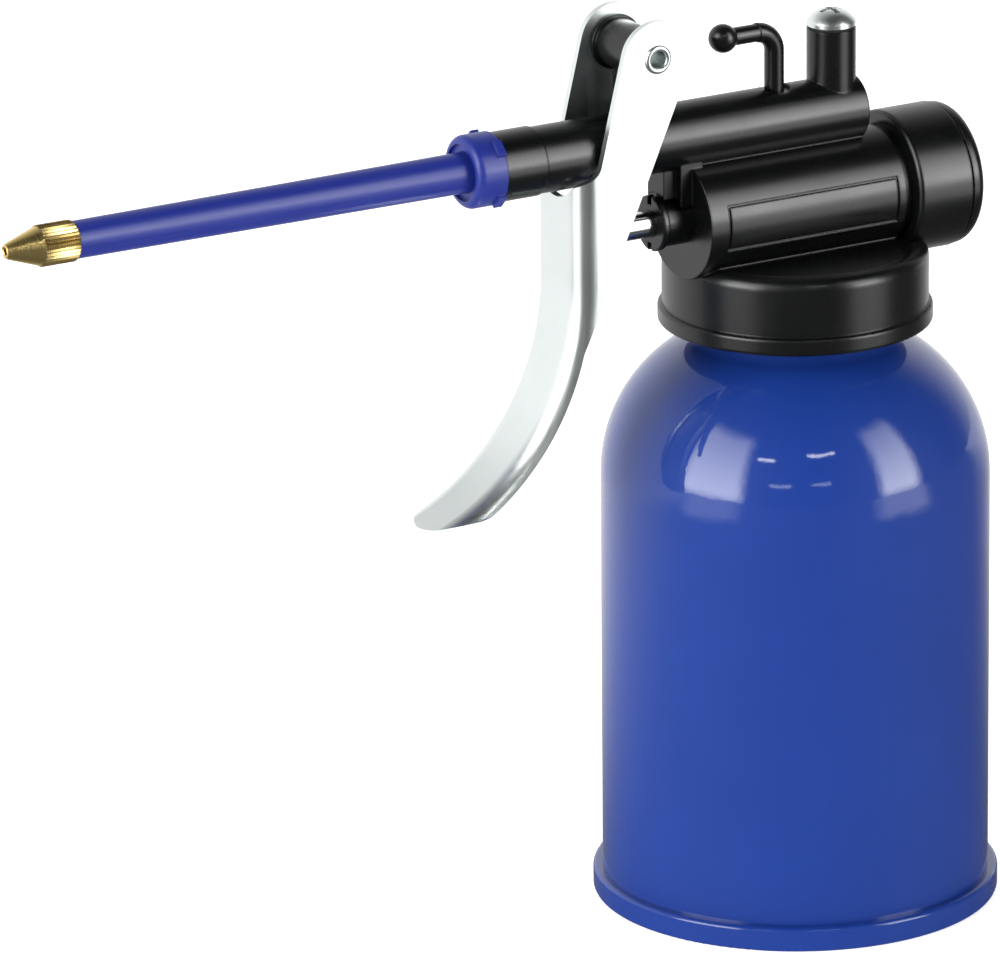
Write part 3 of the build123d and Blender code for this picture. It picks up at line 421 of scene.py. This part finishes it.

floor_mesh = bpy.data.meshes.new("floor")
grid = bmesh.new()
bmesh.ops.create_grid(grid, x_segments=1, y_segments=1, size=6.0)
grid.to_mesh(floor_mesh)
grid.free()
floor = bpy.data.objects.new("floor", floor_mesh)
bpy.context.collection.objects.link(floor)
floor_paper_painted_light, place = new_material("white_paper_and_painted_light")
grain = add_node(floor_paper_painted_light, "ShaderNodeTexNoise", {"Vector": place, "Scale": 3.0})
tone = add_node(floor_paper_painted_light, "ShaderNodeMix", {"Factor": grain.outputs["Fac"], "A": linear("FAFAFA"),
                                               "B": linear("FCFCFC")}, data_type="RGBA")
paper = add_node(floor_paper_painted_light, "ShaderNodeBsdfDiffuse", {"Color": tone.outputs["Result"]})
glow = add_node(floor_paper_painted_light, "ShaderNodeEmission", {"Color": (1, 1, 1, 1), "Strength": paper_glow})
lit = add_node(floor_paper_painted_light, "ShaderNodeAddShader", {0: paper.outputs["BSDF"], 1: glow.outputs["Emission"]})
across = add_node(floor_paper_painted_light, "ShaderNodeSeparateXYZ", {"Vector": place})
# painted flag shade: the gloss sees the floor dark in front, fading to bright behind
painted_flag_shade = add_node(floor_paper_painted_light, "ShaderNodeMapRange", {
    "Value": across.outputs["Y"], "From Min": flag_front, "From Max": flag_back,
    "To Min": front_level, "To Max": 1.0}, interpolation_type="SMOOTHSTEP")
front = add_node(floor_paper_painted_light, "ShaderNodeMath", {0: across.outputs["Y"], 1: -1.0}, operation="MULTIPLY")
bearing = add_node(floor_paper_painted_light, "ShaderNodeMath", {0: across.outputs["X"], 1: front.outputs["Value"]},
                   operation="ARCTAN2")
reach = add_node(floor_paper_painted_light, "ShaderNodeVectorMath", {0: place}, operation="LENGTH")
far = add_node(floor_paper_painted_light, "ShaderNodeMapRange", {"Value": reach.outputs["Value"], "From Min": lamp_near,
                                                   "From Max": lamp_far}, interpolation_type="SMOOTHSTEP")
painted_table_light = painted_flag_shade.outputs["Result"]
# two painted pools of lamp light on the floor, seen only in the gloss
for lamp_bearing, lamp_level in painted_lamp_pools:
    aside = add_node(floor_paper_painted_light, "ShaderNodeMath", {0: bearing.outputs["Value"],
                                                     1: math.radians(lamp_bearing)}, operation="SUBTRACT")
    away = add_node(floor_paper_painted_light, "ShaderNodeMath", {0: aside.outputs["Value"]}, operation="ABSOLUTE")
    beam = add_node(floor_paper_painted_light, "ShaderNodeMapRange", {
        "Value": away.outputs["Value"], "From Min": lamp_edge, "From Max": lamp_core,
        "To Min": 0.0, "To Max": lamp_level}, interpolation_type="SMOOTHSTEP")
    painted_pool = add_node(floor_paper_painted_light, "ShaderNodeMath", {0: beam.outputs["Result"], 1: far.outputs["Result"]},
                    operation="MULTIPLY")
    painted_table_light = add_node(floor_paper_painted_light, "ShaderNodeMath", {0: painted_table_light, 1: painted_pool.outputs["Value"]},
                           operation="MAXIMUM").outputs["Value"]
# painted light and shade: the gloss sees this glowing floor in place of the lit paper
painted_floor_light = add_node(floor_paper_painted_light, "ShaderNodeEmission", {"Color": (1, 1, 1, 1), "Strength": painted_table_light})
ray = add_node(floor_paper_painted_light, "ShaderNodeLightPath", {})
seen = add_node(floor_paper_painted_light, "ShaderNodeMixShader", {0: ray.outputs["Is Glossy Ray"],
                                                     1: lit.outputs["Shader"],
                                                     2: painted_floor_light.outputs["Emission"]})
add_node(floor_paper_painted_light, "ShaderNodeOutputMaterial", {"Surface": seen.outputs["Shader"]})
floor.data.materials.append(floor_paper_painted_light)

# ---------------------------------------------------------------- studio light
# A white tent: pale backdrop behind, dark room in front, one tall soft window on each side
# and thin gaps between the flags. Each is a soft patch of sky, by azimuth from -Y towards +X.
room_level, backdrop_level, overhead_share = 0.04, 1.0, 0.4
# Each patch has its azimuths and elevations, its radiance at the foot and the top, and its soft edge.
tall_windows = (((-102, -64), (0, 45), 10.0, 3.5, 5),
                ((20, 46), (0, 45), 10.0, 2.5, 5))
flag_gaps = (((-57, -46), (31, 33), 12.0, 12.0, 0.9),
             ((-24, -4), (35, 37), 12.0, 12.0, 0.9),
             ((-47, -35), (13, 15), 4.0, 4.0, 0.9),
             ((-23, -11), (14, 16), 4.0, 4.0, 0.9))

world = bpy.data.worlds.new("studio")
bpy.context.scene.world = world
world.use_nodes = True
world.node_tree.nodes.clear()
direction = add_node(world, "ShaderNodeTexCoord", {}).outputs["Generated"]
split = add_node(world, "ShaderNodeSeparateXYZ", {"Vector": direction})
toward = add_node(world, "ShaderNodeMath", {0: split.outputs["Y"], 1: -1.0}, operation="MULTIPLY")
azimuth = add_node(world, "ShaderNodeMath", {0: split.outputs["X"], 1: toward.outputs["Value"]},
                   operation="ARCTAN2")
elevation = add_node(world, "ShaderNodeMath", {0: split.outputs["Z"]}, operation="ARCSINE")


def patch_side(angle, middle, half, soft):
    """1 inside the patch and 0 outside it, along one angle, with a soft edge."""
    from_middle = add_node(world, "ShaderNodeMath", {0: angle.outputs["Value"], 1: math.radians(middle)},
                           operation="SUBTRACT")
    distance = add_node(world, "ShaderNodeMath", {0: from_middle.outputs["Value"]}, operation="ABSOLUTE")
    return add_node(world, "ShaderNodeMapRange", {
        "Value": distance.outputs["Value"], "From Min": math.radians(half + soft),
        "From Max": math.radians(half - soft), "To Min": 0.0, "To Max": 1.0},
        interpolation_type="SMOOTHSTEP").outputs["Result"]


def window(level, azimuths, elevations, radiance, top_radiance, soft):
    """Add one soft window, which fades from its foot to its top, to the light so far."""
    width = patch_side(azimuth, sum(azimuths) / 2, (azimuths[1] - azimuths[0]) / 2, soft)
    height = patch_side(elevation, sum(elevations) / 2, (elevations[1] - elevations[0]) / 2, soft)
    fade = add_node(world, "ShaderNodeMapRange", {
        "Value": elevation.outputs["Value"], "From Min": math.radians(elevations[0]),
        "From Max": math.radians(elevations[1]), "To Min": radiance, "To Max": top_radiance})
    shape = add_node(world, "ShaderNodeMath", {0: width, 1: height}, operation="MULTIPLY")
    light = add_node(world, "ShaderNodeMath", {0: shape.outputs["Value"], 1: fade.outputs["Result"],
                                               2: level}, operation="MULTIPLY_ADD")
    return light.outputs["Value"]


back = add_node(world, "ShaderNodeMapRange", {
    "Value": split.outputs["Y"], "From Min": -0.05, "From Max": 0.6,
    "To Min": room_level, "To Max": backdrop_level}, interpolation_type="SMOOTHSTEP")
height = add_node(world, "ShaderNodeMapRange", {
    "Value": split.outputs["Z"], "From Min": 0.35, "From Max": 0.85,
    "To Min": 1.0, "To Max": overhead_share}, interpolation_type="SMOOTHSTEP")
light = add_node(world, "ShaderNodeMath", {0: back.outputs["Result"], 1: height.outputs["Result"]},
                 operation="MULTIPLY").outputs["Value"]
for azimuths, elevations, foot_radiance, top_radiance, soft in tall_windows + flag_gaps:
    light = window(light, azimuths, elevations, foot_radiance, top_radiance, soft)
seen = add_node(world, "ShaderNodeLightPath", {})
mix = add_node(world, "ShaderNodeMix", {"Factor": seen.outputs["Is Camera Ray"], "A": light, "B": 1.0},
               data_type="FLOAT")
sky = add_node(world, "ShaderNodeBackground", {"Color": (1, 1, 1, 1), "Strength": mix.outputs["Result"]})
add_node(world, "ShaderNodeOutputWorld", {"Surface": sky.outputs["Background"]})

# A broad scrim overhead lights the floor and the tops, and is kept out of the gloss.
scrim_data = bpy.data.lights.new("overhead_scrim", "AREA")
scrim_data.shape = "RECTANGLE"
scrim_data.size = 1.6
scrim_data.size_y = 1.6
scrim_data.energy = 4.5
scrim = bpy.data.objects.new("overhead_scrim", scrim_data)
bpy.context.collection.objects.link(scrim)
scrim.matrix_world = Matrix.Translation((0.0, 0.2, 1.5))
scrim.visible_camera = False
scrim.visible_glossy = False
